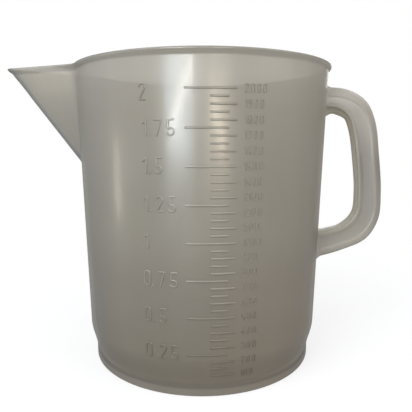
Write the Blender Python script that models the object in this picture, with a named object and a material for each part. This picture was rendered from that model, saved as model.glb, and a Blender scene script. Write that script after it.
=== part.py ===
"""A two-litre measuring jug in natural polypropylene: tapered bowl, V-shaped pouring spout, rolled
rim, D-shaped handle of I section, low foot ring, and a raised volume scale on the front of the bowl.

The jug's features are separate solids, set 0.3 mm clear of each other.  Lengths in the functions are
millimetres; meshes are in metres.

The bowl's axis is vertical.  The spout points to -X, the handle to +X, and the scale faces -Y.  The
empty "bowl_axis" carries every feature.  It stands so that the origin is on the table, midway
between the spout's tip and the handle's outermost point.
"""

import math

import bmesh
import bpy
from mathutils import Vector

MM = 0.001
GAP = 0.3  # clearance between neighbouring features

# Rim and its lip: a bead that tapers back into the wall below it
RIM_Z = 165.5  # top of the rim
LIP_OUT = 1.6  # how far the lip stands out from the wall's outer face
LIP_H = 3.0
LIP_ROUND = 0.6
LIP_CURVE_STEPS = 5  # down the bead's outside
LIP_CURVE_POWER = 0.8  # below 1 makes the bead's outside fuller
LIP_SLIDE_FROM = 80.0  # past this distance from the axis, the lip is stretched to the spout's reach

# Base
FLOOR_TOP = 3.2
FLOOR_T = 2.4
FLOOR_CROWN = 0.6  # the floor's underside is dished up by this much at its middle
FLOOR_MID_R, FLOOR_CORE_R = 42.0, 20.0  # rings of vertices inside the floor's edge
FOOT_R = 64.3  # outer radius of the foot ring
RING_TOP = 4.3
RING_T = 2.4
RING_BEVEL_W, RING_BEVEL_H = 0.3, 0.4  # bevels at the ring's lower edges

# Bowl
SEGMENTS = 96
WALL = 2.4  # wall thickness
WALL_R = 66.75  # outer radius the drafted wall would have at the table
DRAFT = 0.0272  # outward lean of the wall, millimetres per millimetre of height
SHOULDER_LOW, SHOULDER_HIGH = 5.5, 21.0  # the bowl swells from foot to wall between these heights
WALL_LOW = RING_TOP + GAP
WALL_TOP = RIM_Z - LIP_H - GAP
BOWL_HEIGHTS = [7.0, 10.0, 13.0, 16.0, 19.0, 22.0, 60.0, 110.0]  # vertex rings up the bowl

# Spout
SPOUT_REACH = 113.3  # bowl axis to the tip of the lip
KEEL_FOOT_Z = 109.6  # height where the keel leaves the wall
KEEL_LEAN = 0.752  # outward run of the keel, millimetres per millimetre of height
SPOUT_HALF_ANGLE = math.radians(28.5)  # each side panel to the middle plane, seen from above
KEEL_ROUND = 2.6  # outside radius of the fold
KEEL_ROUND_INSIDE = KEEL_ROUND - 1.4
PANEL_T = WALL * 1.07  # thickness of the side panels, measured level
FOLD_STEPS = 6
TIP_RISE = 1.1  # the spout's top edge climbs by this much to its tip
RISE_FROM = 70.0  # and starts to climb at this distance from the bowl's axis
BEND_CLEARANCE = 4.0  # the panels' bend stays at least this far behind the fold's centre
SPOUT_LOW, SPOUT_HIGH = 104.0, 175.0  # the spout's V before trimming
SPOUT_BACK = 48.0  # distance from the axis to the back of the spout's V
CUTTER_LOW, CUTTER_BACK = 100.0, 40.0  # the same for the cutters of the mouth and the hollow
MOUTH_CUTTER_HIGH, HOLLOW_CUTTER_HIGH = 172.0, 178.0

# Outline of the rim, where the bowl's circle runs out into the spout
CREASE_BLEND = 3.0  # rounding where the rim turns into the spout
SPOUT_SPREAD = math.radians(58)  # the spout can shape the rim this far either side of -X
FINE_SPREAD = math.radians(31)  # the outline is sampled finely this far either side of -X
FINE_STEPS = 46
FINE_EVEN_SHARE = 0.25  # 1 spaces the fine samples evenly, less crowds them towards the tip

# Handle stations, from the top root round the D to the bottom root.  Columns: outer edge and inner
# edge as (distance from the bowl's axis, height), outer flange's thickness, inner flange's
# thickness, swell of the inner flange's finger side.
HANDLE_STATIONS = (
    ((66.0, 156.4), (66.0, 143.9), 5.4, 2.4, 9.0),
    ((84.5, 154.8), (78.0, 143.9), 5.2, 2.4, 2.8),
    ((95.5, 148.2), (84.9, 139.4), 4.8, 2.6, 1.2),
    ((101.3, 137.0), (88.1, 131.0), 4.4, 2.8, 0.8),
    ((104.7, 117.0), (91.0, 114.0), 4.2, 3.0, 0.8),
    ((107.0, 95.0), (92.8, 95.0), 4.2, 3.0, 0.8),
    ((106.2, 78.4), (91.7, 82.2), 4.2, 3.0, 0.8),
    ((99.3, 66.6), (85.6, 75.4), 4.2, 3.0, 0.8),
    ((84.0, 59.3), (76.0, 72.0), 4.2, 3.0, 0.8),
    ((64.0, 53.6), (64.0, 70.6), 4.2, 3.0, 0.8),
)
OUTER_EDGE, INNER_EDGE, OUTER_FLANGE_T, INNER_FLANGE_T, INNER_SWELL = zip(*HANDLE_STATIONS)
HANDLE_W = 8.8  # across the flanges
WEB_T = 7.8  # across the web
OUTER_FLANGE_BEVEL, INNER_FLANGE_BEVEL = 1.5, 1.0
HANDLE_STEPS = 44
CURVE_STEPS = 24  # between neighbouring stations, before the curve is evened out
# Shape of the finger side's swell: (share of the full swell, share of the half width)
SWELL_SHAPE = ((0.75, 0.5), (1.0, 0.17), (1.0, -0.17), (0.75, -0.5))

# Volume scale, raised on the front of the bowl
SCALE_STEP = 50  # millilitres
SCALE_FIRST, SCALE_LAST = 100, 2000
FILL_STEP = 0.05  # height of the slices that add up the volume
MARK_W = 1.2  # height of a mark, halfway up its sloping edges
MARK_SLOPE = 0.15  # each edge slopes by this much either side of halfway
MARK_RELIEF = 0.45
MARK_SUNK = 0.9  # how far the marks reach into the wall
MARK_SPAN = 4.6  # approximate length of the flat pieces that follow the curve
# Ends of the marks as x, measured from the bowl's middle plane
MARK_LEFT, MARK_LONG_LEFT = 3.7, -7.8  # marks start here, and those of each 250 ml further left
MARK_SHORT_RIGHT, MARK_RIGHT = 12.3, 15.9  # where the 50 ml and the 100 ml marks end

# Polypropylene of each piece: base colour, roughness
FINISHES = {
    "jug_wall": ((0.60, 0.58, 0.52), 0.38),
    "base_floor": ((0.52, 0.50, 0.44), 0.42),
    "foot_ring": ((0.54, 0.52, 0.46), 0.40),
    "pouring_spout": ((0.66, 0.63, 0.56), 0.38),
    "rim_lip": ((0.58, 0.56, 0.52), 0.34),
    "handle_outer_flange": ((0.62, 0.60, 0.54), 0.36),
    "handle_inner_flange": ((0.62, 0.60, 0.54), 0.36),
    "handle_web": ((0.58, 0.57, 0.53), 0.40),
}
REFRACTIVE_INDEX = 1.49
TRANSMISSION = 0.35  # lets some light through, for a milky look
SHARP_ANGLE = math.radians(32)  # edges that turn by more than this are shaded sharp


# Shape of the bowl and spout

def ramp(value, start, end):
    """0 at start, 1 at end, straight between them and level beyond."""
    return min(max((value - start) / (end - start), 0.0), 1.0)


def wall_radius(z):
    """Outer radius of the bowl at height z."""
    straight = WALL_R + DRAFT * z
    t = ramp(z, SHOULDER_LOW, SHOULDER_HIGH)
    return FOOT_R + (straight - FOOT_R) * t * t * (3.0 - 2.0 * t)


def keel(z):
    """Distance from the bowl's axis to the outside of the spout's fold at height z."""
    return wall_radius(KEEL_FOOT_Z) + KEEL_LEAN * (z - KEEL_FOOT_Z)


def tip_rise(x):
    """How far the top edge has climbed at this x."""
    return TIP_RISE * ramp(-x, RISE_FROM, SPOUT_REACH)


def spout_section(tip, fold, back):
    """The V of the spout seen from above, as (x, y) from one back corner round the fold to the
    other.  tip and back are distances from the axis, fold is the fold's radius."""
    centre = tip - fold
    apex = centre + fold / math.sin(SPOUT_HALF_ANGLE)
    bend = min(RISE_FROM, centre - BEND_CLEARANCE)
    back_half = (apex - back) * math.tan(SPOUT_HALF_ANGLE)
    bend_half = (apex - bend) * math.tan(SPOUT_HALF_ANGLE)
    points = [(-back, -back_half), (-bend, -bend_half)]
    for i in range(FOLD_STEPS + 1):
        turn = (math.pi / 2 - SPOUT_HALF_ANGLE) * (2.0 * i / FOLD_STEPS - 1.0)
        points.append((-centre - fold * math.cos(turn), fold * math.sin(turn)))
    return points + [(-bend, bend_half), (-back, back_half)]


def spout_ray(tip, direction):
    """Distance from the axis to the outside of the spout's V, at an angle to -X."""
    direction = abs(direction)
    centre = tip - KEEL_ROUND
    offset = centre * math.sin(direction)  # from the fold's centre to the ray
    if offset < KEEL_ROUND * math.cos(SPOUT_HALF_ANGLE + direction):
        return centre * math.cos(direction) + math.sqrt(KEEL_ROUND**2 - offset**2)
    apex = centre + KEEL_ROUND / math.sin(SPOUT_HALF_ANGLE)
    return apex * math.sin(SPOUT_HALF_ANGLE) / math.sin(SPOUT_HALF_ANGLE + direction)


def mouth_outline():
    """Outline of the outer face at the rim, as (x, y), anticlockwise seen from above."""
    circle_radius, tip = wall_radius(RIM_Z), keel(RIM_Z)
    coarse = [i * 2 * math.pi / SEGMENTS - math.pi for i in range(SEGMENTS)]
    directions = [direction for direction in coarse if abs(direction) > FINE_SPREAD]
    for i in range(FINE_STEPS + 1):
        share = 2.0 * i / FINE_STEPS - 1.0
        crowding = FINE_EVEN_SHARE + (1.0 - FINE_EVEN_SHARE) * abs(share)
        directions.append(FINE_SPREAD * share * crowding)
    outline = []
    for direction in sorted(directions):
        radius = circle_radius
        if abs(direction) < SPOUT_SPREAD:
            spout_radius = spout_ray(tip, direction)
            near = max(CREASE_BLEND - abs(circle_radius - spout_radius), 0.0) / CREASE_BLEND
            radius = max(circle_radius, spout_radius) + near * near * CREASE_BLEND / 4
        outline.append((-radius * math.cos(direction), -radius * math.sin(direction)))
    return outline


# Curves along the handle

def catmull_rom(points, knots, t):
    """Point at parameter t on the curve between the middle two of four points."""
    for spans in (((0, 1), (1, 2), (2, 3)), ((0, 2), (1, 3)), ((1, 2),)):
        blended = []
        for i, (first, last) in enumerate(spans):
            start, end = knots[first], knots[last]
            length = end - start
            blended.append(points[i] * ((end - t) / length) + points[i + 1] * ((t - start) / length))
        points = blended
    return points[0]


def spline(points, count):
    """Centripetal Catmull-Rom curve through the points, at count + 1 even steps of length.

    Returns (place, point) pairs, where place is the fractional index along the given points."""
    points = [Vector(point) for point in points]
    points = [2 * points[0] - points[1]] + points + [2 * points[-1] - points[-2]]
    fine = []
    for i in range(len(points) - 3):
        control = points[i : i + 4]
        knots = [0.0]
        for start, end in zip(control, control[1:]):
            knots.append(knots[-1] + math.sqrt((end - start).length))
        for k in range(CURVE_STEPS):
            t = knots[1] + (knots[2] - knots[1]) * k / CURVE_STEPS
            fine.append((i + k / CURVE_STEPS, catmull_rom(control, knots, t)))
    fine.append((len(points) - 3.0, points[-2]))

    lengths = [0.0]
    for (_, start), (_, end) in zip(fine, fine[1:]):
        lengths.append(lengths[-1] + (end - start).length)
    even, j = [], 0
    for i in range(count + 1):
        wanted = lengths[-1] * i / count
        while j < len(fine) - 2 and lengths[j + 1] < wanted:
            j += 1
        share = (wanted - lengths[j]) / (lengths[j + 1] - lengths[j])
        (place, point), (next_place, next_point) = fine[j], fine[j + 1]
        even.append((place + share * (next_place - place), point.lerp(next_point, share)))
    return even


def between(values, place):
    """The list's value at a fractional place."""
    i = min(int(place), len(values) - 2)
    return values[i] + (values[i + 1] - values[i]) * (place - i)


# Mesh helpers

def new_object(name, bm):
    """Turn a bmesh in millimetres into an object in metres."""
    bmesh.ops.recalc_face_normals(bm, faces=bm.faces[:])
    for vert in bm.verts:
        vert.co *= MM
    mesh = bpy.data.meshes.new(name)
    bm.to_mesh(mesh)
    bm.free()
    obj = bpy.data.objects.new(name, mesh)
    bpy.context.scene.collection.objects.link(obj)
    return obj


def loft(bm, rings, ends="capped"):
    """Skin a list of rings of points.  The ends are "capped", "open" or "joined" to each other."""
    rows = [[bm.verts.new(point) for point in ring] for ring in rings]
    pairs = list(zip(rows, rows[1:]))
    if ends == "joined":
        pairs.append((rows[-1], rows[0]))
    for row, next_row in pairs:
        for i in range(len(row)):
            k = (i + 1) % len(row)
            bm.faces.new((row[i], row[k], next_row[k], next_row[i]))
    if ends == "capped":
        bm.faces.new(rows[0])
        bm.faces.new(rows[-1])
    return rows


def lofted_object(name, rings, ends="capped"):
    bm = bmesh.new()
    loft(bm, rings, ends)
    return new_object(name, bm)


def revolve(name, profile, ends):
    """Turn a profile of (radius, height) about the bowl's axis."""
    angles = [2 * math.pi * i / SEGMENTS for i in range(SEGMENTS)]
    rings = [[(r * math.cos(a), r * math.sin(a), z) for a in angles] for r, z in profile]
    return lofted_object(name, rings, ends)


def add_boolean(obj, other, name, operation="DIFFERENCE"):
    modifier = obj.modifiers.new(name, "BOOLEAN")
    modifier.operation = operation
    modifier.solver = "EXACT"
    modifier.object = other
    other.hide_render = True
    other.display_type = "WIRE"


def wedge(name, fold, low, high, back, top_edge=None, side_inset=0.0):
    """The solid V under the spout's fold, between two heights.

    side_inset thins it from the outside.  top_edge, if given, is the height of a top edge that
    climbs towards the tip."""
    sine = math.sin(SPOUT_HALF_ANGLE)

    def section(z):
        # measured from the apex, so the sides stay in place whatever the fold's radius
        apex = keel(z) + KEEL_ROUND / sine - KEEL_ROUND - side_inset / sine
        tip = apex - (fold / sine - fold)
        return [(x, y, z) for x, y in spout_section(tip, fold, back)]

    bottom, top = section(low), section(high)
    if top_edge is not None:
        for i, (foot, head) in enumerate(zip(bottom, top)):
            foot, head = Vector(foot), Vector(head)
            point = head
            for _ in range(6):  # the edge's height depends on x, so close in on it
                rise = top_edge + tip_rise(point.x) - foot.z
                point = foot.lerp(head, rise / (head.z - foot.z))
            top[i] = tuple(point)

    bm = bmesh.new()
    for row in loft(bm, [bottom, top], ends="open"):
        # cap in strips across the V, so that a climbing edge stays straight across
        middle = len(row) // 2
        for i in range(middle - 1):
            bm.faces.new((row[i], row[i + 1], row[-2 - i], row[-1 - i]))
        bm.faces.new(row[middle - 1 : middle + 2])
    return new_object(name, bm)


def spout_cutter(name, high):
    """The space inside the spout's side panels."""
    return wedge(name, KEEL_ROUND_INSIDE, CUTTER_LOW, high, CUTTER_BACK, side_inset=PANEL_T)


# Pieces

def build_clearance():
    """A solid of the bowl's outer face plus the gap, which trims whatever meets the bowl."""
    heights = [0.0, 4.0] + BOWL_HEIGHTS + [180.0]
    profile = [(wall_radius(z) + GAP, z) for z in heights]
    return revolve("bowl_clearance_cutter", profile, "capped")


def scale_heights():
    """Height of each volume mark, from the volume held above the floor.  The scale is set for the
    bowl alone: the little that the spout holds isn't counted."""
    heights, wanted = {}, SCALE_FIRST
    z, held = FLOOR_TOP, 0.0
    while wanted <= SCALE_LAST and z < RIM_Z:
        radius = wall_radius(z + FILL_STEP / 2) - WALL
        slice_volume = math.pi * radius * radius * FILL_STEP / 1000.0  # millilitres
        if held + slice_volume >= wanted:
            heights[wanted] = z + FILL_STEP * (wanted - held) / slice_volume
            wanted += SCALE_STEP
        held += slice_volume
        z += FILL_STEP
    return heights


def build_marks():
    half = MARK_W / 2
    section = (  # height from the mark's middle, rise from the wall's outer face
        (-half - MARK_SLOPE, -MARK_SUNK), (-half + MARK_SLOPE, MARK_RELIEF),
        (half - MARK_SLOPE, MARK_RELIEF), (half + MARK_SLOPE, -MARK_SUNK),
    )
    bm = bmesh.new()
    for volume, z in scale_heights().items():
        left = MARK_LONG_LEFT if volume % 250 == 0 else MARK_LEFT
        right = MARK_RIGHT if volume % 100 == 0 else MARK_SHORT_RIGHT
        steps = round((right - left) / MARK_SPAN)
        rings = []
        for i in range(steps + 1):
            x = left + (right - left) * i / steps
            angle = math.asin(x / wall_radius(z))
            radii = [(wall_radius(z) + rise, z + up) for up, rise in section]
            rings.append([(r * math.sin(angle), -r * math.cos(angle), height) for r, height in radii])
        loft(bm, rings)
    return new_object("scale_marks_joined_to_wall", bm)


def build_wall():
    heights = [WALL_LOW] + BOWL_HEIGHTS + [WALL_TOP]
    outside = [(wall_radius(z), z) for z in heights]
    inside = [(wall_radius(z) - WALL, z) for z in reversed(heights)]
    wall = revolve("jug_wall", outside + inside, "joined")
    # The opening from the bowl into the spout
    add_boolean(wall, spout_cutter("spout_mouth_cutter", MOUTH_CUTTER_HIGH), "spout_mouth")
    add_boolean(wall, build_marks(), "raised_marks", operation="UNION")


def build_foot_ring():
    inside = FOOT_R - RING_T
    profile = [
        (FOOT_R - RING_BEVEL_W, 0.0), (FOOT_R, RING_BEVEL_H), (FOOT_R, RING_TOP),
        (inside, RING_TOP), (inside, RING_BEVEL_H), (inside + RING_BEVEL_W, 0.0),
    ]
    revolve("foot_ring", profile, "joined")


def build_floor():
    edge = FOOT_R - RING_T - GAP
    profile = [(FLOOR_CORE_R, FLOOR_TOP), (edge, FLOOR_TOP)]
    for radius in (edge, FLOOR_MID_R, FLOOR_CORE_R):
        dish = FLOOR_CROWN * (1 - (radius / edge) ** 2)
        profile.append((radius, FLOOR_TOP - FLOOR_T + dish))
    revolve("base_floor", profile, "capped")


def build_spout(clearance):
    spout = wedge(
        "pouring_spout", KEEL_ROUND, SPOUT_LOW, SPOUT_HIGH, SPOUT_BACK, top_edge=WALL_TOP
    )
    add_boolean(spout, spout_cutter("spout_hollow_cutter", HOLLOW_CUTTER_HIGH), "hollow")
    add_boolean(spout, clearance, "clear_of_bowl")


def build_lip():
    # Section as (distance out from the wall's outer face, height from the rim)
    section = [
        (-WALL, -LIP_H), (-WALL, -LIP_ROUND), (-WALL + LIP_ROUND, 0.0), (LIP_OUT - LIP_ROUND, 0.0),
    ]
    for i in range(LIP_CURVE_STEPS + 1):  # the bead's outside turns under, back into the wall
        t = i / LIP_CURVE_STEPS
        out = LIP_OUT * math.cos(t * math.pi / 2) ** LIP_CURVE_POWER
        section.append((out, -LIP_ROUND - (LIP_H - LIP_ROUND) * t))

    outline = mouth_outline()
    tip = keel(RIM_Z)
    stretch = SPOUT_REACH - LIP_OUT - tip  # brings the tip of the lip exactly to its reach
    rings = []
    for i, (x, y) in enumerate(outline):
        before, after = Vector(outline[i - 1]), Vector(outline[(i + 1) % len(outline)])
        tangent = (after - before).normalized()
        slid_x = x - stretch * ramp(-x, LIP_SLIDE_FROM, tip)
        rings.append([
            (slid_x + tangent.y * out, y - tangent.x * out, RIM_Z + tip_rise(x) + up)
            for out, up in section
        ])
    lofted_object("rim_lip", rings, "joined")


def handle_section(near, far, width, bevel=0.0, swell=None):
    """Section of a handle band as (depth in from the outer edge, y)."""
    half = width / 2
    if not bevel:
        return [(near, half), (far, half), (far, -half), (near, -half)]
    swollen = []
    if swell is not None:
        swollen = [(far + swell * rise, half * across) for rise, across in SWELL_SHAPE]
    return [
        (near, half - bevel), (near + bevel, half), (far - bevel, half), (far, half - bevel),
        *swollen,
        (far, -half + bevel), (far - bevel, -half), (near + bevel, -half), (near, -half + bevel),
    ]


def build_handle(outer_curve, clearance):
    """Two flanges and the web between them, each a band that follows the D."""
    bands = {"handle_outer_flange": [], "handle_inner_flange": [], "handle_web": []}
    for (place, outer), (_, inner) in zip(outer_curve, spline(INNER_EDGE, HANDLE_STEPS)):
        inward = (inner - outer).normalized()
        depth = (inner - outer).length
        web_near = between(OUTER_FLANGE_T, place)
        web_far = depth - between(INNER_FLANGE_T, place)
        swell = between(INNER_SWELL, place)
        sections = (
            handle_section(0.0, web_near, HANDLE_W, OUTER_FLANGE_BEVEL),
            handle_section(web_far, depth, HANDLE_W, INNER_FLANGE_BEVEL, swell),
            handle_section(web_near + GAP, web_far - GAP, WEB_T),
        )
        for rings, section in zip(bands.values(), sections):
            points = [(outer + inward * along, y) for along, y in section]
            rings.append([(point.x, y, point.y) for point, y in points])
    for name, rings in bands.items():
        add_boolean(lofted_object(name, rings), clearance, "clear_of_bowl")


def finish(obj, colour, roughness):
    """Give a piece its polypropylene and its shading."""
    material = bpy.data.materials.new(obj.name + "_polypropylene")
    material.use_nodes = True
    inputs = material.node_tree.nodes["Principled BSDF"].inputs
    inputs["Base Color"].default_value = (*colour, 1.0)
    inputs["Roughness"].default_value = roughness
    inputs["Metallic"].default_value = 0.0
    inputs["IOR"].default_value = REFRACTIVE_INDEX
    inputs["Transmission Weight"].default_value = TRANSMISSION
    obj.data.materials.append(material)
    obj.data.shade_smooth()
    obj.data.set_sharp_from_angle(angle=SHARP_ANGLE)


def parent_to_axis(handle_reach):
    """Hang every object on the bowl's axis, placed to centre the jug on the origin."""
    bowl_axis = bpy.data.objects.new("bowl_axis", None)
    bpy.context.scene.collection.objects.link(bowl_axis)
    bowl_axis.location.x = (SPOUT_REACH - handle_reach) / 2 * MM
    for obj in list(bpy.data.objects):
        if obj is not bowl_axis:
            obj.parent = bowl_axis


def main():
    for obj in list(bpy.data.objects):
        bpy.data.objects.remove(obj, do_unlink=True)

    clearance = build_clearance()
    build_wall()
    build_foot_ring()
    build_floor()
    build_spout(clearance)
    build_lip()
    outer_curve = spline(OUTER_EDGE, HANDLE_STEPS)
    build_handle(outer_curve, clearance)

    parent_to_axis(handle_reach=max(point.x for _, point in outer_curve))
    for name, (colour, roughness) in FINISHES.items():
        finish(bpy.data.objects[name], colour, roughness)


main()
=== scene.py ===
"""A two-litre measuring jug in natural (frosted, uncoloured) polypropylene.

The jug stands upright, its spout toward -X, its handle toward +X, and its raised scale facing -Y,
where the camera is.  Bowl, floor, foot, spout and rim are one continuous skin.  The handle and the
scale are pieces of their own, set a fraction of a millimetre into that skin.  Lengths in the
functions are millimetres from the bowl's axis; meshes, lights and materials are in metres.
"""

import math

import bmesh
import bpy
import numpy as np
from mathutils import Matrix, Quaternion, Vector


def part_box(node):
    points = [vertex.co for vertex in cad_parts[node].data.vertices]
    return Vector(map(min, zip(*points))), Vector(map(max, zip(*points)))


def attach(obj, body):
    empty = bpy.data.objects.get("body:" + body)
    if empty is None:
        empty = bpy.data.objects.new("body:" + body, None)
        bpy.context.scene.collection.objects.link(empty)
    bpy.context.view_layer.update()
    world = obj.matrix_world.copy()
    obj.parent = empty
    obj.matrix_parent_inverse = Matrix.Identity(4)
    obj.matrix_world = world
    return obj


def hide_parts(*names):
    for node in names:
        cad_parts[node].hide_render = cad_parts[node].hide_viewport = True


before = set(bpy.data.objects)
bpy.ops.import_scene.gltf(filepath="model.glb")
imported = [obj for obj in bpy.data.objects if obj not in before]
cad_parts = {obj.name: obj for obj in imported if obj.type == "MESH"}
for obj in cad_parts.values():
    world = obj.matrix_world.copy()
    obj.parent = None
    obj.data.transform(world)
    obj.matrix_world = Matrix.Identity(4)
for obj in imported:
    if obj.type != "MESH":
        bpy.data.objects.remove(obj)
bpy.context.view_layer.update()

MM = 0.001

# ------------------------------------------------------------------ places, from the CAD pieces
foot_lo, foot_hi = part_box("foot_ring")
lip_lo, lip_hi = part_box("rim_lip")
floor_lo, floor_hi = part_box("base_floor")
grip_lo, grip_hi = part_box("handle_outer_flange")

AXIS = Vector(((foot_lo.x + foot_hi.x) / 2, (foot_lo.y + foot_hi.y) / 2, foot_lo.z))
FOOT_R = (foot_hi.x - foot_lo.x) / 2 / MM
FLOOR_TOP = floor_hi.z / MM
FLOOR_UNDER = floor_lo.z / MM
SPOUT_REACH = (AXIS.x - lip_lo.x) / MM
HANDLE_REACH = (grip_hi.x - AXIS.x) / MM
HANDLE_HALF = (grip_hi.y - grip_lo.y) / 2 / MM
TIP_RISE = 1.1  # how far the spout's tip stands above the rest of the rim
RIM_Z = lip_hi.z / MM - TIP_RISE
TOP_Z = 168.0  # highest level that the outline and the colours are worked out for

# ------------------------------------------------------------------ the bowl's form
WALL = 2.4
LIP_OUT = 1.6  # the rim bead's overhang
DRAFT = 0.0272
WALL_R = lip_hi.y / MM - AXIS.y / MM - LIP_OUT - DRAFT * RIM_Z  # drafted wall carried down to z = 0
SHOULDER_LOW, SHOULDER_HIGH = 5.5, 21.0
RING_T = 2.4  # the foot ring's thickness

# the spout: two upright planes that meet in a rounded fold, whose keel leans outward
KEEL_FOOT_Z = 109.6
KEEL_LEAN = 0.752
HALF_ANGLE = math.radians(28.5)
SPOUT_WALL = WALL * 1.07
KEEL_ROUND, INNER_ROUND = 2.6, 1.2
SPOUT_LIMIT = math.radians(62)
CREASE = 3.2  # width over which the spout's panels blend into the bowl
RISE_FROM = 70.0  # distance toward the spout at which the rim starts to rise
CLIMB_FROM, CLIMB_OVER = 148.0, 14.0  # the height over which that rise grows to its full size
SETTLE = 3.6  # the height below the rim over which the tip is drawn back to its reach

# columns of the skin, in each half from the spout round to the handle
SPOUT_COLUMNS, BOWL_COLUMNS = 24, 96
# shares of the way from the crease to the handle, for the dense columns beside the crease
NEAR_CREASE = np.array([0.0, 0.25, 0.5, 0.8, 1.15, 1.6, 2.2, 3.0, 4.0, 5.2, 6.6, 8.2]) / 180.0


def smooth(share):
    """Eases a share, held between 0 and 1."""
    share = np.clip(share, 0.0, 1.0)
    return share * share * (3.0 - 2.0 * share)


def wall_radius(z):
    """Outer radius of the bowl at height z."""
    shoulder = smooth((z - SHOULDER_LOW) / (SHOULDER_HIGH - SHOULDER_LOW))
    return FOOT_R + (WALL_R + DRAFT * z - FOOT_R) * shoulder


def bowl_radius(z, inner):
    return wall_radius(z) - (WALL if inner else 0.0)


def keel(z):
    """Distance from the axis to the outside of the spout's fold at height z."""
    return wall_radius(KEEL_FOOT_Z) + KEEL_LEAN * (z - KEEL_FOOT_Z)


def spout_apex(z, inner):
    """Distance from the axis to where the spout's planes would meet, and their fold's radius."""
    sine = math.sin(HALF_ANGLE)
    apex = keel(z) + KEEL_ROUND / sine - KEEL_ROUND
    if inner:
        return apex - SPOUT_WALL / sine, INNER_ROUND
    return apex, KEEL_ROUND


def spout_radius(z, angles, inner):
    """Distance from the axis to the spout along each direction, an angle from -X."""
    apex, fold = spout_apex(z, inner)
    centre = apex - fold / math.sin(HALF_ANGLE)
    angles = np.abs(angles)
    panel = apex * math.sin(HALF_ANGLE) / np.sin(HALF_ANGLE + np.minimum(angles, 1.5))
    inside = np.maximum(fold**2 - (centre * np.sin(angles)) ** 2, 0.0)
    nose = centre * np.cos(angles) + np.sqrt(inside)
    on_nose = centre * np.sin(angles) < fold * np.cos(HALF_ANGLE + angles)
    return np.where(on_nose, nose, panel)


def outline(z, angles, inner):
    """Radius of the bowl with its spout along each direction, with rounded creases."""
    circle = bowl_radius(z, inner)
    if z < KEEL_FOOT_Z - 12.0:
        return np.full_like(angles, circle)
    spout = np.where(np.abs(angles) < SPOUT_LIMIT, spout_radius(z, angles, inner), 0.0)
    blend = np.clip(CREASE - np.abs(circle - spout), 0.0, None) / CREASE
    return np.maximum(circle, spout) + blend * blend * CREASE / 4


def crease_angle(z, inner):
    """Direction at which the spout's panel leaves the bowl, kept at least as wide as the fold."""
    least = math.radians(1.6)
    below = KEEL_FOOT_Z - 2.0 - z
    if below > 0:
        return least + min(below / 60.0, 1.0) * math.radians(14.0)
    apex, _ = spout_apex(z, inner)
    sine = apex * math.sin(HALF_ANGLE) / bowl_radius(z, inner)
    return max(math.asin(min(max(sine, -1.0), 1.0)) - HALF_ANGLE, least)


def directions(z, inner=False):
    """The columns' angles from -X at height z: dense at the fold and at both creases."""
    edge = crease_angle(z, inner)
    spout = edge * 0.5 * (1 - np.cos(math.pi * np.arange(SPOUT_COLUMNS) / SPOUT_COLUMNS))
    dense = NEAR_CREASE[-1]
    even = BOWL_COLUMNS - len(NEAR_CREASE)
    rest = dense + (1 - dense) * np.arange(1, even + 1) / even
    bowl_side = edge + (math.pi - edge) * np.concatenate([NEAR_CREASE, rest])
    half = np.concatenate([spout, bowl_side])
    return np.concatenate([half, -half[1:-1][::-1]])


def disc_ring(radius, z):
    """A plain circle with the skin's columns."""
    angles = directions(10.0)
    return np.stack(
        [-radius * np.cos(angles), -radius * np.sin(angles), np.full_like(angles, z)], axis=1)


def wall_ring(z, inner=False, out=0.0, rim=False):
    """One closed ring of the wall, moved out by out along its own normals.

    Rings of the rim all take their columns from its top edge."""
    angles = directions(RIM_Z if rim else z, inner)
    radii = outline(z, angles, inner)
    climb = smooth((z - CLIMB_FROM) / CLIMB_OVER)
    reach = (radii * np.cos(angles) - RISE_FROM) / (SPOUT_REACH - RISE_FROM)
    share = climb * np.clip(reach, 0.0, 1.0)
    # the tip climbs along the keel's own slope, and is drawn back to its reach at the rim
    settle = smooth((z - (RIM_Z - SETTLE)) / SETTLE)
    higher = outline(min(z + TIP_RISE * climb * (1 - settle), TOP_Z), angles, inner)
    radii = radii + (higher - radii) * share
    x, y = -radii * np.cos(angles), -radii * np.sin(angles)
    if out:
        along_x, along_y = np.roll(x, -1) - np.roll(x, 1), np.roll(y, -1) - np.roll(y, 1)
        length = np.hypot(along_x, along_y)
        normal_x, normal_y = along_y / length, -along_x / length
        away = np.sign(normal_x * x + normal_y * y)
        x, y = x + normal_x * away * out, y + normal_y * away * out
    return np.stack([x, y, z + TIP_RISE * share], axis=1)


# ------------------------------------------------------------------ meshes
def ring_skin(rings, start, end):
    """Vertices and faces of a closed skin: a start point, the rings, an end point."""
    size = len(rings[0])
    verts = [np.array([start])] + rings + [np.array([end])]
    faces = [(0, 1 + (i + 1) % size, 1 + i) for i in range(size)]
    for k in range(len(rings) - 1):
        low, high = 1 + k * size, 1 + (k + 1) * size
        for i in range(size):
            j = (i + 1) % size
            faces.append((low + i, low + j, high + j, high + i))
    last = 1 + (len(rings) - 1) * size
    faces += [(last + i, last + (i + 1) % size, last + size) for i in range(size)]
    return np.concatenate(verts), faces


def turn_outward(mesh):
    """Makes the faces consistent, and flips them if they enclose a negative volume."""
    work = bmesh.new()
    work.from_mesh(mesh)
    bmesh.ops.recalc_face_normals(work, faces=work.faces[:])
    if work.calc_volume(signed=True) < 0:
        bmesh.ops.reverse_faces(work, faces=work.faces[:])
    work.to_mesh(mesh)
    work.free()


def link_object(name, data):
    made = bpy.data.objects.new(name, data)
    bpy.context.scene.collection.objects.link(made)
    return made


def make_piece(name, verts, faces, slots=None):
    """A smooth mesh object in metres, from millimetre points about the bowl's axis."""
    mesh = bpy.data.meshes.new(name)
    mesh.from_pydata(
        [tuple(v) for v in (np.asarray(verts, float) * MM + np.array(AXIS))], [], faces)
    if slots is not None:
        mesh.polygons.foreach_set("material_index", np.asarray(slots, np.int32))
    mesh.validate()
    mesh.shade_smooth()
    turn_outward(mesh)
    return link_object(name, mesh)


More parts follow.
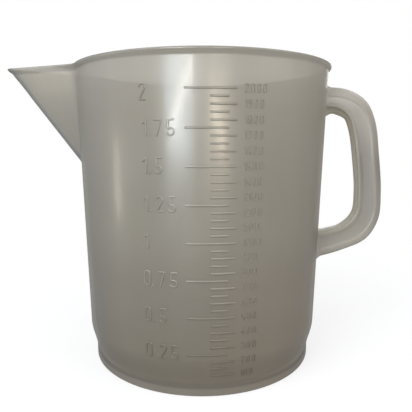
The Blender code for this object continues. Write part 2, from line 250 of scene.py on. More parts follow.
def store_weights(piece, name, first, rings, last):
    """A weight for each vertex of a ring skin, which the materials read."""
    values = np.concatenate([[first], *rings, [last]]).astype(np.float32)
    piece.data.attributes.new(name, "FLOAT", "POINT").data.foreach_set("value", values)


# ------------------------------------------------------------------ the bowl's skin
GATE = ((1.6, 0.15), (2.0, 0.2), (2.3, 0.6), (6.0, 0.62), (6.4, 0.5))  # radius, rise at the gate mark
UNDERSIDE_RADII = (14.0, 24.0, 34.0, 44.0, 52.0, 58.0)
BOTTOM_RADII = (54.0, 46.0, 36.0, 26.0, 16.0, 8.0, 3.0)
BOTTOM_CROWN, BOTTOM_CROWN_R = 0.25, 58.0  # the bottom's rise at its middle, and where it ends
BOTTOM_CORNER = 3.6

# heights of the wall's rings, going up outside and down inside
OUTSIDE_Z = np.concatenate([
    (1.2, 2.2, 3.2, 4.0, 4.7, 5.3), np.arange(5.9, 21.6, 0.72),
    np.linspace(24.0, 100.0, 24), np.linspace(102.0, RIM_Z - SETTLE, 47),
])
INSIDE_Z = np.concatenate([
    np.linspace(RIM_Z - 4.8, 102.0, 46), np.linspace(100.0, 24.0, 24), np.arange(22.0, 7.3, -0.8),
])
# depths of the rim's rings below its top edge
BEAD_DOWN = (2.8, 2.5, 2.2, 1.9, 1.6, 1.3, 0.95)
LIP_INSIDE_DOWN = (1.3, 1.8, 2.3, 2.8, 3.3, 3.8)
BEAD_ROUND, LIP_ROUND = 0.7, 0.8  # roundings of the rim's outer and inner edges

ZONE_SLOTS = {"underside": 0, "foot": 1, "wall": 1, "lip": 2, "inside": 2, "bottom": 3}


def zone_weights(zone, points, z):
    """Two weights for each point of a ring: its section's thickness, and the fold's colour, which under
    the spout's lip marks a painted shade line.
    """
    none = np.zeros(len(points))
    if zone == "foot":
        return none + 1.0, none
    if zone not in ("wall", "lip"):
        return none, none
    x, y, down = points[:, 0], points[:, 1], RIM_Z - z
    # 1 along the spout's fold, falling to 0 on its panels and below its foot
    fold = smooth((4.2 - (keel(z) + x)) / 1.8) * (np.abs(y) < 12.0)
    fold = fold * smooth((z - KEEL_FOOT_Z - 1.0) / 6.0)
    # the bead is heavy, but for its part along the spout
    bead = smooth((1.5 - down) / 1.1) * (0.05 + 0.95 * smooth((x + 83.0) / 9.0))
    base = smooth((4.9 - z) / 1.2)
    thickness = np.maximum(np.maximum(bead, fold * 0.8), base)
    if zone == "lip":
        # painted shade: a dark line runs along the inside of the spout, under its lip, deeper toward
        # the tip
        depth = np.clip(0.7 + 0.13 * (-x - 81.0), 0.7, 3.2)
        shade_line = np.clip(1.3 - np.abs(down - depth) / 0.6, 0.0, 1.0)
        fold = shade_line * smooth((-x - 72.0) / 4.0)
    return thickness, fold


def turns(*degrees):
    """The cosine and sine of each angle."""
    return [(math.cos(math.radians(a)), math.sin(math.radians(a))) for a in degrees]


def build_bowl():
    rings, zones, thickness, fold_and_lip_shade = [], [], [], []

    def add(zone, z, points):
        rings.append(points)
        zones.append(zone)
        thick, fold = zone_weights(zone, points, z)
        thickness.append(thick)
        fold_and_lip_shade.append(fold)

    def add_disc(zone, radius, z):
        add(zone, z, disc_ring(radius, z))

    def add_rim(zone, down, out=0.0):
        z = RIM_Z - down
        add(zone, z, wall_ring(z, inner=zone == "lip", out=out, rim=True))

    # underside: a shallow dish with the gate mark at its middle
    ring_inner = FOOT_R - RING_T
    for radius, rise in GATE:
        add_disc("underside", radius, FLOOR_UNDER + rise)
    for radius in UNDERSIDE_RADII:
        add_disc("underside", radius, FLOOR_UNDER + 0.6 * (1 - (radius / ring_inner) ** 2))
    add_disc("underside", ring_inner - 0.7, FLOOR_UNDER + 0.02)
    # foot ring: up its inside, then its two rounded edges
    add_disc("foot", ring_inner - 0.2, FLOOR_UNDER - 0.04)
    add_disc("foot", ring_inner, FLOOR_UNDER - 0.18)
    for cosine, sine in turns(0, 30, 60, 90):
        add_disc("foot", ring_inner + 0.45 - 0.43 * cosine, 0.45 - 0.45 * sine)
    for cosine, sine in turns(90, 60, 30, 0):
        add_disc("foot", FOOT_R - 0.5 + 0.5 * cosine, 0.5 - 0.5 * sine)

    for z in OUTSIDE_Z:
        add("wall", z, wall_ring(z))

    # rim bead: out of the wall, round, and down inside
    for down in BEAD_DOWN:
        share = (down - BEAD_ROUND) / (BEAD_DOWN[0] - BEAD_ROUND)
        add_rim("wall", down, LIP_OUT * math.cos(share * math.pi / 2) ** 0.9)
    for cosine, sine in turns(0, 22, 45, 68, 90):
        add_rim("wall", BEAD_ROUND * (1 - sine), LIP_OUT - BEAD_ROUND * (1 - cosine))
    add_rim("wall", 0.0, -0.35)
    for cosine, sine in turns(90, 60, 30, 0):
        add_rim("lip", LIP_ROUND * (1 - sine), LIP_ROUND * (1 - cosine))
    for down in LIP_INSIDE_DOWN:
        add_rim("lip", down)

    for z in INSIDE_Z:
        add("inside", z, wall_ring(z, inner=True))

    corner_r = bowl_radius(FLOOR_TOP + BOTTOM_CORNER, inner=True) - BOTTOM_CORNER
    for cosine, sine in turns(0, 18, 36, 54, 72, 90):
        add_disc("bottom", corner_r + BOTTOM_CORNER * cosine, FLOOR_TOP + BOTTOM_CORNER * (1 - sine))
    for radius in BOTTOM_RADII:
        crown = BOTTOM_CROWN * (1 - (radius / BOTTOM_CROWN_R) ** 2)
        add_disc("bottom", radius, FLOOR_TOP + crown)

    verts, faces = ring_skin(
        rings, (0, 0, FLOOR_UNDER + GATE[0][1]), (0, 0, FLOOR_TOP + BOTTOM_CROWN))
    bands = [zones[0]] + zones[1:] + [zones[-1]]
    slots = np.repeat([ZONE_SLOTS[zone] for zone in bands], len(rings[0]))
    piece = make_piece("jug_moulding", verts, faces, slots)
    store_weights(piece, "section", 0.0, thickness, 0.0)
    store_weights(piece, "fold", 0.0, fold_and_lip_shade, 0.0)
    return piece


# ------------------------------------------------------------------ handle
# outer edge and finger side in side view, from the top root to the bottom root: (x, z)
HANDLE_OUTER = (
    (66.0, 156.4), (84.5, 154.8), (95.5, 148.2), (101.3, 137.0), (104.7, 117.0),
    (107.0, 95.0), (106.2, 78.4), (99.3, 66.6), (84.0, 59.3), (64.0, 53.6),
)
HANDLE_INNER = (
    (66.0, 143.9), (78.0, 143.9), (84.9, 139.4), (88.1, 131.0), (91.0, 114.0),
    (92.8, 95.0), (91.7, 82.2), (85.6, 75.4), (76.0, 72.0), (64.0, 70.6),
)
# flange thicknesses, and the finger side's crown, at each of those points
OUTER_FLANGE = (5.4, 5.2, 4.8, 4.4, 4.2, 4.2, 4.2, 4.2, 4.2, 4.2)
INNER_FLANGE = (2.4, 2.4, 2.6, 2.8, 3.0, 3.0, 3.0, 3.0, 3.0, 3.0)
INNER_CROWN = (9.0, 2.8, 1.2, 0.8, 0.8, 0.8, 0.8, 0.8, 0.8, 0.8)
WEB_INSET = 0.35
OUTER_ROUND, FINGER_ROUND = 1.9, 1.3
FLARE, FLARE_REACH = 1.3, 3.2  # the handle's widening at the wall, and how far off it starts
ROOT_SINK = 0.8  # how deep the roots lie in the wall
STRETCH_FROM = 90.0  # points beyond this x are scaled to the handle's reach
HANDLE_STEPS = 150
SPAN_STEPS = 24


def knot_blend(first, last, low, high, knot):
    return first * ((high - knot) / (high - low)) + last * ((knot - low) / (high - low))


def spline(points, count):
    """Centripetal Catmull-Rom curve through the points, at count + 1 even steps of length.

    Each step is (fractional place in the list, point)."""
    points = [Vector(p) for p in points]
    padded = [2 * points[0] - points[1]] + points + [2 * points[-1] - points[-2]]
    fine = []
    for i in range(len(points) - 1):
        four = padded[i : i + 4]
        knots = [0.0]
        for here, ahead in zip(four, four[1:]):
            knots.append(knots[-1] + math.sqrt((ahead - here).length))
        for k in range(SPAN_STEPS):
            knot = knots[1] + (knots[2] - knots[1]) * k / SPAN_STEPS
            lines = [
                knot_blend(four[j], four[j + 1], knots[j], knots[j + 1], knot) for j in range(3)]
            bends = [
                knot_blend(lines[j], lines[j + 1], knots[j], knots[j + 2], knot) for j in range(2)]
            fine.append((i + k / SPAN_STEPS, knot_blend(*bends, knots[1], knots[2], knot)))
    fine.append((len(points) - 1.0, points[-1]))

    lengths = [0.0]
    for (_, here), (_, ahead) in zip(fine, fine[1:]):
        lengths.append(lengths[-1] + (ahead - here).length)
    steps, j = [], 0
    for i in range(count + 1):
        want = lengths[-1] * i / count
        while j < len(fine) - 2 and lengths[j + 1] < want:
            j += 1
        share = (want - lengths[j]) / (lengths[j + 1] - lengths[j])
        (place, here), (next_place, ahead) = fine[j], fine[j + 1]
        steps.append((place + share * (next_place - place), here.lerp(ahead, share)))
    return steps


def between(values, place):
    """The list's value at a fractional place, eased so that it has no kinks."""
    i = min(int(place), len(values) - 2)
    return values[i] + (values[i + 1] - values[i]) * smooth(place - i)


def arc(x, y, radius, start, stop, steps):
    """Points on an arc about (x, y), between two angles in degrees."""
    angles = [math.radians(start + (stop - start) * k / steps) for k in range(steps + 1)]
    return [(x + radius * math.cos(a), y + radius * math.sin(a)) for a in angles]


def handle_section(depth, outer_flange, inner_flange, half, web, crown):
    """Half of the I section, outer edge to finger side, as (depth from the outer edge, half width,
    share of web, share of finger side)."""
    points = [(0.0, 0.0, 0, 0), (0.0, half * 0.35, 0, 0), (0.05, half * 0.6, 0, 0)]
    points += [(x, y, 0, 0) for x, y in arc(OUTER_ROUND, half - OUTER_ROUND, OUTER_ROUND, 180, 90, 5)]
    for k in range(7):  # a soft step down from the outer flange to the web
        share = k / 6
        points.append((outer_flange - 0.6 + 1.5 * share, half + (web - half) * smooth(share), share, 0))
    points.append(((outer_flange + depth - inner_flange) / 2, web - 0.02, 1, 0))
    for k in range(7):  # and up again to the inner flange
        share = k / 6
        step = depth - inner_flange - 0.9 + 1.3 * share
        points.append((step, web + (half - web) * smooth(share), 1 - share, 0))
    edge = arc(depth - FINGER_ROUND, half - FINGER_ROUND, FINGER_ROUND, 90, 0, 5)
    points += [(x, y, 0, k / 5) for k, (x, y) in enumerate(edge)]
    for rise, width in ((0.42, 0.62), (0.8, 0.38), (1.0, 0.14), (1.0, 0.0)):
        points.append((depth + crown * rise, half * width, 0, 1))
    return points


def handle_ring(place, outside, inside):
    """The section at one station, as (x, y, z, sunk in the wall, share of flange, of finger side)."""
    inward = (inside - outside).normalized()
    middle = (outside + inside) / 2
    clear = middle.x - wall_radius(middle.y)  # how far this station stands off the wall
    flare = max(1.0 - max(clear, 0.0) / FLARE_REACH, 0.0) ** 2 * FLARE
    section = handle_section(
        depth=(inside - outside).length + 2 * flare,
        outer_flange=between(OUTER_FLANGE, place) + flare,
        inner_flange=between(INNER_FLANGE, place) + flare,
        half=HANDLE_HALF + flare,
        web=HANDLE_HALF - WEB_INSET + flare * 1.2,
        crown=between(INNER_CROWN, place),
    )
    mirrored = [(depth, -y, web, finger) for depth, y, web, finger in section[-2:0:-1]]
    start = outside - inward * flare
    ring = []
    for depth, y, web, finger in section + mirrored:
        x, z = start + inward * depth
        limit = wall_radius(z) - ROOT_SINK
        sunk = math.hypot(x, y) < limit
        if sunk:
            x = math.sqrt(limit * limit - y * y)
        ring.append((x, y, z, sunk, 1.0 - web, finger))
    return ring


def build_handle():
    outer, inner = spline(HANDLE_OUTER, HANDLE_STEPS), spline(HANDLE_INNER, HANDLE_STEPS)
    rings = np.array([
        handle_ring(place, outside, inside)
        for (place, outside), (_, inside) in zip(outer, inner)], float)
    # drop the stations that lie wholly inside the wall, but for the last one at each end
    keep = np.flatnonzero(~(rings[:, :, 3] > 0).all(axis=1))
    rings = rings[max(keep[0] - 1, 0) : keep[-1] + 2]
    stretch = HANDLE_REACH / max(point.x for _, point in outer)
    rings[:, :, 0] *= np.where(rings[:, :, 0] > STRETCH_FROM, stretch, 1.0)
    rows = list(rings[:, :, :3])
    piece = make_piece("handle_moulding", *ring_skin(rows, rows[0].mean(0), rows[-1].mean(0)))
    store_weights(piece, "section", 1.0, rings[:, :, 4], 1.0)
    store_weights(piece, "finger", 1.0, rings[:, :, 5], 1.0)
    return piece


# ------------------------------------------------------------------ raised scale
SCALE_STEP, SCALE_FIRST, SCALE_LAST = 50, 100, 2000  # millilitres
# ends of the marks along the wall from its front: long every 250 ml at left, every 100 ml at right
TICK_LEFT, TICK_LONG_LEFT, TICK_SHORT_RIGHT, TICK_RIGHT = 3.7, -7.8, 12.3, 15.9
TICK_HALF, TICK_RELIEF, TICK_SPACING = 0.52, 0.30, 1.6
MILLILITRES_LEFT, MILLILITRES_RISE = 19.2, 0.15
MILLILITRE_TYPE = dict(height=3.9, width=1.75, gap=1.25, stroke=0.34, relief=0.25)
LITRE_TYPE = dict(height=7.8, width=3.9, gap=2.1, stroke=0.95, relief=0.27)
ONE_ADVANCE = 0.30  # the space that a 1 takes, as a share of a numeral's width
# volume, rise above the mark, then the parts of the label with the left edge of each
LITRE_LABELS = (
    (2000, -1.2, (("2", -29.6),)),
    (1750, 0.0, (("1", -28.0), (".", -24.9), ("75", -22.1))),
    (1500, 0.5, (("1", -28.2), (".", -25.0), ("5", -22.0))),
    (1250, 0.4, (("1", -28.1), (".", -24.9), ("25", -21.8))),
    (1000, 0.5, (("1", -28.0),)),
    (750, 0.4, (("0", -28.8), (".", -24.7), ("75", -21.4))),
    (500, 0.6, (("0", -28.8), (".", -24.6), ("5", -21.1))),
    (250, 0.9, (("0", -28.5), (".", -24.5), ("25", -21.1))),
)
RIDGE_SINK = 0.25
# half of each ridge's profile and back: (share of half width, share of relief; None lies in the wall)
RIDGE_PROFILE = (
    (-1.0, None), (-0.93, 0.42), (-0.74, 0.83), (-0.45, 1.0), (0.0, 1.03),
    (0.45, 1.0), (0.74, 0.83), (0.93, 0.42), (1.0, None),
)


def scale_heights():
    """Height of each volume mark, from the volume that the bowl alone holds above the floor."""
    marks, wanted = {}, SCALE_FIRST
    z, held, rise = FLOOR_TOP, 0.0, 0.1
    while wanted <= SCALE_LAST and z < RIM_Z:
        radius = bowl_radius(z + rise / 2, inner=True)
        step = math.pi * radius * radius * rise / 1000.0
        while wanted <= SCALE_LAST and held + step >= wanted:
            marks[wanted] = z + rise * (wanted - held) / step
            wanted += SCALE_STEP
        held += step
        z += rise
    return marks


def on_wall(along, z, rise):
    """The point along millimetres round the wall from its front, standing out by rise."""
    radius = wall_radius(z)
    angle = along / radius
    return ((radius + rise) * math.sin(angle), -(radius + rise) * math.cos(angle), z)


def ridge_stations(path, half, closed):
    """Where a ridge's profile stands: (point, direction, share of width, share of relief)."""
    path = [Vector(p) for p in path]
    if closed:
        return [(point, (path[(i + 1) % len(path)] - path[i - 1]).normalized(), 1.0, 1.0)
                for i, point in enumerate(path)]
    steps = [(ahead - here).normalized() for here, ahead in zip(path, path[1:])]

    def round_end(point, outward, along, angles):
        return [(point + outward * half * sine, along, cosine, cosine**0.5)
                for cosine, sine in turns(*angles)]

    stations = round_end(path[0], -steps[0], steps[0], (78, 50, 25))
    for i, point in enumerate(path):
        before, after = steps[max(i - 1, 0)], steps[min(i, len(steps) - 1)]
        stations.append((point, (before + after).normalized(), 1.0, 1.0))
    return stations + round_end(path[-1], steps[-1], steps[-1], (25, 50, 78))


class Sheet:
    """Collects rounded ridges on the wall into one mesh."""

    def __init__(self):
        self.verts, self.faces = [], []

    def add_ridge(self, path, half, relief, closed=False):
        stations = ridge_stations(path, half, closed)
        size, base, count = len(RIDGE_PROFILE), len(self.verts), len(stations)
        for point, along, narrow, low in stations:
            across = Vector((-along.y, along.x))
            for side, lift in RIDGE_PROFILE:
                place = point + across * side * half * narrow
                rise = -RIDGE_SINK if lift is None else relief * lift * low
                self.verts.append(on_wall(place.x, place.y, rise))
        for k in range(count if closed else count - 1):
            here, ahead = base + k * size, base + (k + 1) % count * size
            for i in range(size):
                j = (i + 1) % size
                self.faces.append((here + i, here + j, ahead + j, ahead + i))
        if not closed:
            self.faces.append(tuple(base + i for i in range(size)))
            self.faces.append(tuple(base + (count - 1) * size + i for i in reversed(range(size))))

    def write(self, text, left, z, height, width, gap, stroke, relief):
        """Raises a number on the wall, its left edge at left and its middle at height z."""
        for char in text:
            for points, closed in numeral(char, width - stroke, height - stroke):
                path = [(left + stroke / 2 + x, z - (height - stroke) / 2 + y) for x, y in points]
                self.add_ridge(path, stroke / 2, relief, closed)
            left += width * (ONE_ADVANCE if char == "1" else 1.0) + gap


def bend_corners(points, cut, steps=4):
    """Rounds the inner corners of a path, starting cut away from each."""
    path = [Vector(p) for p in points]
    bent = [path[0]]
    for before, corner, after in zip(path, path[1:], path[2:]):
        start = corner + (before - corner).normalized() * cut
        stop = corner + (after - corner).normalized() * cut
        for k in range(steps + 1):
            t = k / steps
            bent.append((1 - t) ** 2 * start + 2 * t * (1 - t) * corner + t * t * stop)
    bent.append(path[-1])
    return [tuple(p) for p in bent]


def numeral(char, wide, tall):
    """Centre lines of a plain numeral or point in a box wide by tall, as (points, closed) paths."""
    mid = wide / 2

    def bent(*points):
        return bend_corners(points, wide * 0.10)

    def squeezed(points, share):
        return [(mid + (x - mid) * share, y) for x, y in points]

    if char == "0":
        return [(arc(mid, tall - mid, mid, 180, 0, 10) + arc(mid, mid, mid, 0, -180, 10), True)]
    if char == "1":
        return [(bent((0.0, tall * 0.80), (mid, tall), (mid, 0.0)), False)]
    if char == "2":
        top = arc(mid, tall - mid, mid, 172, -28, 12)
        return [(top[:-1] + bent(top[-1], (0.0, 0.0), (wide, 0.0)), False)]
    if char == "3":
        upper, lower = tall * 0.235, tall * 0.285
        top = arc(mid, tall - upper, upper * 0.98, 158, -78, 10)
        return [(top + arc(mid, lower, lower * 0.98, 80, -158, 12), False)]
    if char == "4":
        angle = bent((wide * 0.62, tall), (0.0, tall * 0.26), (wide * 1.02, tall * 0.26))
        return [(angle, False), ([(wide * 0.74, tall * 0.50), (wide * 0.74, 0.0)], False)]
    if char == "5":
        flag = bent((wide * 0.94, tall), (wide * 0.08, tall), (wide * 0.03, tall * 0.50))
        return [(flag + arc(mid * 0.94, mid * 1.06, mid * 1.06, 118, -150, 14), False)]
    if char == "6":
        stem = [(wide * 0.66, tall), (wide * 0.30, tall * 0.66), (wide * 0.04, tall * 0.36)]
        return [(arc(mid, mid, mid, 150, 510, 20)[:-1], True), (stem, False)]
    if char == "7":
        return [(bent((0.0, tall), (wide, tall), (wide * 0.32, 0.0)), False)]
    if char == "8":
        upper, lower = tall * 0.235, tall * 0.265
        top = squeezed(arc(mid, tall - upper, upper, 0, 360, 16)[:-1], 0.86)
        return [(top, True), (squeezed(arc(mid, lower, lower, 0, 360, 18)[:-1], 0.96), True)]
    if char == "9":
        stem = [(wide * 0.34, 0.0), (wide * 0.70, tall * 0.34), (wide * 0.96, tall * 0.64)]
        return [(arc(mid, tall - mid, mid, -30, 330, 20)[:-1], True), (stem, False)]
    return [([(wide * 0.1, 0.02), (wide * 0.1, 0.14)], False)]  # the decimal point


def build_scale():
    heights = scale_heights()
    ticks, litres, millilitres = Sheet(), Sheet(), Sheet()
    for volume, z in heights.items():
        lean = 0.3 - 0.55 * (z - 15.0) / 145.0  # the column of marks leans a hair to the spout
        left = (TICK_LONG_LEFT if volume % 250 == 0 else TICK_LEFT) + lean
        right = (TICK_RIGHT if volume % 100 == 0 else TICK_SHORT_RIGHT) + lean
        count = max(3, round((right - left) / TICK_SPACING))
        run = right - left - 2 * TICK_HALF
        path = [(left + TICK_HALF + run * k / count, z) for k in range(count + 1)]
        ticks.add_ridge(path, TICK_HALF, TICK_RELIEF)
        if volume % 100 == 0:
            millilitres.write(str(volume), MILLILITRES_LEFT, z + MILLILITRES_RISE, **MILLILITRE_TYPE)
    for volume, rise, parts in LITRE_LABELS:
        for text, left in parts:
            litres.write(text, left, heights[volume] + rise, **LITRE_TYPE)
    sheets = (("scale_marks", ticks), ("scale_numbers_litres", litres),
              ("scale_numbers_millilitres", millilitres))
    return [make_piece(name, sheet.verts, sheet.faces) for name, sheet in sheets]


# ------------------------------------------------------------------ shader nodes
class Nodes:
    """Short-hand for building the node tree of a material or world."""

    def __init__(self, owner, output):
        self.owner = owner
        owner.use_nodes = True
        self.tree = owner.node_tree
        self.tree.nodes.clear()
        self.out = self.node(output)

    def node(self, kind, **inputs):
        """A new node; inputs are values or sockets, with _ for each space in their names."""
        made = self.tree.nodes.new("ShaderNode" + kind)
        for key, value in inputs.items():
            self.put(made.inputs[key.replace("_", " ")], value)
        return made

    def put(self, socket, value):
        if isinstance(value, bpy.types.NodeSocket):
            self.tree.links.new(value, socket)
        else:
            socket.default_value = value

    def attribute(self, name):
        made = self.node("Attribute")
        made.attribute_name = name
        return made.outputs["Fac"]

    def noise(self, scale, detail=3.0, rough=0.5):
        """Noise in object space, scale being its frequency along x, y and z."""
        vector = self.node("Mapping", Vector=self.coords, Scale=scale).outputs["Vector"]
        made = self.node("TexNoise", Vector=vector, Scale=1.0, Detail=detail, Roughness=rough)
        return made.outputs["Fac"]

    def remap(self, value, source, target):
        made = self.node("MapRange", Value=value, From_Min=source[0], From_Max=source[1],
                         To_Min=target[0], To_Max=target[1])
        return made.outputs["Result"]

    def multiply(self, first, second):
        made = self.node("Math")
        made.operation = "MULTIPLY"
        self.put(made.inputs[0], first)
        self.put(made.inputs[1], second)
        return made.outputs[0]

    def ramp(self, value, stops):
        """An eased colour ramp through stops of (place, colour)."""
        made = self.node("ValToRGB", Fac=value)
        band = made.color_ramp
        band.interpolation = "EASE"
        while len(band.elements) > 1:
            band.elements.remove(band.elements[-1])
        band.elements[0].position, band.elements[0].color = stops[0][0], (*stops[0][1], 1.0)
        for place, colour in stops[1:]:
            band.elements.new(place).color = (*colour, 1.0)
        return made.outputs["Color"]

    def tint(self, base, colour, factor=1.0, mode="MULTIPLY"):
        made = self.node("Mix")
        made.data_type = "RGBA"
        made.blend_type = mode
        for key, value in (("Factor", factor), ("A", base), ("B", colour)):
            self.put(made.inputs[key], value)
        return made.outputs["Result"]

    def mix_shaders(self, share, first, second):
        made = self.node("MixShader")
        for i, value in enumerate((share, first, second)):
            self.put(made.inputs[i], value)
        return made.outputs[0]

    def finish(self, shader):
        self.put(self.out.inputs["Surface"], shader)
        return self.owner


def material_nodes(name):
    nodes = Nodes(bpy.data.materials.new(name), "OutputMaterial")
    nodes.coords = nodes.node("TexCoord").outputs["Object"]
    return nodes


# ------------------------------------------------------------------ polypropylene
# colours by height: (share of TOP_Z, linear colour); many of them paint shade low down and light toward
# the rim
# painted shade: the underside and the bowl's bottom are coloured darker than the wall
UNDERSIDE_STOPS = [(0.0, (0.24, 0.205, 0.165)), (1.0, (0.26, 0.23, 0.19))]
BOTTOM_STOPS = [(0.0, (0.26, 0.225, 0.18)), (1.0, (0.28, 0.245, 0.20))]
# painted light and shade: the wall darkens toward its bottom and lightens toward the rim, and a painted
# dark band of shade lies in the step above the foot ring
WALL_STOPS = [
    (0.000, (0.225, 0.190, 0.150)), (0.024, (0.150, 0.128, 0.100)), (0.031, (0.150, 0.128, 0.100)),
    (0.045, (0.255, 0.222, 0.170)), (0.14, (0.285, 0.255, 0.200)), (0.30, (0.315, 0.286, 0.236)),
    (0.52, (0.385, 0.358, 0.298)), (0.82, (0.415, 0.385, 0.325)), (0.88, (0.440, 0.408, 0.345)),
    (0.93, (0.485, 0.450, 0.380)), (1.00, (0.510, 0.472, 0.400)),
]
# the heavy sections (rim bead, spout fold, foot) carry painted shade as well: lighter toward the rim,
# with the same painted dark band of shade in the step above the foot ring
THICK_STOPS = [
    (0.000, (0.270, 0.242, 0.196)), (0.021, (0.260, 0.232, 0.186)), (0.025, (0.150, 0.128, 0.100)),
    (0.036, (0.215, 0.185, 0.148)), (0.60, (0.300, 0.285, 0.245)), (0.97, (0.350, 0.332, 0.285)),
    (1.00, (0.420, 0.400, 0.350)),
]
# painted shade inside the bowl: darker toward its bottom, lighter toward the rim
INSIDE_STOPS = [(0.0, (0.30, 0.268, 0.22)), (0.5, (0.35, 0.325, 0.272)), (1.0, (0.43, 0.405, 0.348))]
# painted shade: the dark line inside the spout, under its lip
LIP_SHADE_STOPS = [(0.0, (0.24, 0.22, 0.19)), (1.0, (0.24, 0.22, 0.19))]
# painted light and shade on the raised scale: darkest low down, lightest at mid height, a little darker
# again near the top
RELIEF_STOPS = [
    (0.00, (0.200, 0.176, 0.140)), (0.14, (0.225, 0.200, 0.160)), (0.22, (0.275, 0.250, 0.205)),
    (0.34, (0.365, 0.340, 0.285)), (0.50, (0.395, 0.370, 0.312)), (0.70, (0.390, 0.365, 0.308)),
    (0.82, (0.365, 0.342, 0.290)), (1.00, (0.400, 0.375, 0.320)),
]
FOLD_STOPS = [(0.0, (0.25, 0.246, 0.230)), (1.0, (0.27, 0.266, 0.248))]
# painted light and shade on the handle: lighter on both arms and brightest atop the upper arm, darker
# along the grip, the web lighter than the flanges, and the finger side lightened where the jug shades
# it
HANDLE_WEB = [
    (0.36, (0.500, 0.478, 0.430)), (0.50, (0.430, 0.410, 0.368)), (0.68, (0.405, 0.388, 0.350)),
    (0.84, (0.520, 0.502, 0.455)), (0.92, (0.800, 0.770, 0.700)),
]
HANDLE_FLANGE = [
    (0.36, (0.520, 0.492, 0.430)), (0.50, (0.375, 0.352, 0.302)), (0.66, (0.300, 0.280, 0.238)),
    (0.76, (0.385, 0.360, 0.312)), (0.84, (0.440, 0.415, 0.365)), (0.92, (0.620, 0.588, 0.528)),
]
HANDLE_FINGER = [
    (0.38, (0.720, 0.690, 0.590)), (0.60, (0.820, 0.785, 0.680)), (0.78, (0.740, 0.695, 0.590)),
    (0.88, (0.560, 0.512, 0.415)),
]

# painted reflected light: a cool cast towards the spout and a warm cast low down beside the handle
COOL_LIGHT_TINT = (0.955, 0.985, 1.045, 1.0)
WARM_LIGHT_TINT = (1.015, 0.993, 1.000, 1.0)
EDGE_TINT = (0.70, 0.69, 0.68, 1.0)
GLOW_COLOUR = (0.62, 0.58, 0.50, 1.0)
CLEAR_COLOUR = (0.94, 0.93, 0.90, 1.0)
FLOW_STOPS = [(0.30, (0.975, 0.975, 0.975)), (0.70, (1.0, 1.0, 1.0))]
CLOUD_STOPS = [(0.30, (0.965, 0.972, 0.985)), (0.70, (1.0, 0.995, 0.988))]
SPECK_STOPS = [(0.30, (0.985, 0.985, 0.985)), (0.70, (1.0, 1.0, 1.0))]


def polypropylene(name, stops, see, thick=None, accent=None, glow=0.28, rough=(0.30, 0.38),
                  bump=0.40, coat=0.26, edge=1.0, tinted=1.0):
    """Natural polypropylene: a milky body that lets some light through, under a satin skin.

    stops colours it by height, see is the share of what is behind a face that shows through it,
    glow the share of light that comes through scattered.  thick colours its heavy sections, and
    accent is the name of another weight with its colours; these colour ramps carry painted light
    and shade.  edge and tinted are the strengths of the darkening at edges and of the painted cool
    and warm light."""
    nodes = material_nodes(name)
    split = nodes.node("SeparateXYZ", Vector=nodes.coords)
    height = nodes.remap(split.outputs["Z"], (0.0, TOP_Z * MM), (0.0, 1.0))
    body = nodes.ramp(height, stops)
    if thick:
        heavy = nodes.attribute("section")
        body = nodes.tint(body, nodes.ramp(height, thick), heavy, "MIX")
    if accent:
        weight, colours = accent
        body = nodes.tint(body, nodes.ramp(height, colours), nodes.attribute(weight), "MIX")

    def along_x(start, stop, target):
        return nodes.remap(split.outputs["X"], (AXIS.x + start, AXIS.x + stop), target)

    # painted reflected light: the moulding is tinted a little cooler towards its spout and warmer low
    # down beside its handle
    cool = along_x(-0.015, -0.060, (0.0, tinted))
    warm = nodes.multiply(along_x(-0.010, 0.045, (0.0, tinted)),
                          nodes.remap(height, (0.62, 0.25), (0.0, 1.0)))
    body = nodes.tint(body, COOL_LIGHT_TINT, cool)
    body = nodes.tint(body, WARM_LIGHT_TINT, warm)

    # seen edge-on, the light's path through the wall is longer and the plastic looks darker
    facing = nodes.node("LayerWeight", Blend=0.35).outputs["Facing"]
    darker = nodes.multiply(nodes.remap(facing, (0.26, 0.65), (0.0, edge)),
                            nodes.remap(height, (0.10, 0.60), (1.0, 0.62)))
    body = nodes.tint(body, EDGE_TINT, darker)

    # melt-flow streaks up the wall, broad clouding, and fine speckle in the material
    flow = nodes.noise((95.0, 95.0, 7.0))
    cloud = nodes.noise((22.0, 22.0, 14.0), detail=2.0)
    speck = nodes.noise((900.0, 900.0, 900.0), detail=1.0)
    for pattern, colours in ((flow, FLOW_STOPS), (cloud, CLOUD_STOPS), (speck, SPECK_STOPS)):
        body = nodes.tint(body, nodes.ramp(pattern, colours))

    # satin skin: fine grain, faint waviness, and handling scuffs that dull it
    scuff = nodes.noise((110.0, 110.0, 40.0), rough=0.55)
    roughness = nodes.remap(scuff, (0.35, 0.70), rough)
    grain = nodes.noise((1500.0, 1500.0, 1500.0), detail=1.0)
    wave = nodes.noise((70.0, 70.0, 30.0), rough=0.45)
    wavy = nodes.node("Bump", Strength=bump, Distance=0.00030, Height=wave).outputs["Normal"]
    fine = nodes.node("Bump", Strength=0.10, Distance=0.00004, Height=grain, Normal=wavy)
    skin = nodes.node(
        "BsdfPrincipled", Base_Color=body, Roughness=roughness, IOR=1.49, Specular_IOR_Level=0.5,
        Normal=fine.outputs["Normal"], Coat_Weight=coat, Coat_Roughness=0.14, Coat_Normal=wavy)
    through = nodes.node("BsdfTranslucent", Color=nodes.tint(body, GLOW_COLOUR, 0.45, "MIX"))
    milky = nodes.mix_shaders(glow, skin.outputs[0], through.outputs[0])

    clear = nodes.node("BsdfTransparent", Color=CLEAR_COLOUR)
    share = nodes.remap(facing, (0.0, 1.0), (see, see * 0.55))
    if thick:
        share = nodes.multiply(share, nodes.remap(heavy, (0.0, 1.0), (1.0, 0.20)))
        # the spout's panels let more through
        share = nodes.multiply(share, along_x(-0.069, -0.077, (1.0, 1.75)))
    return nodes.finish(nodes.mix_shaders(share, milky, clear.outputs[0]))


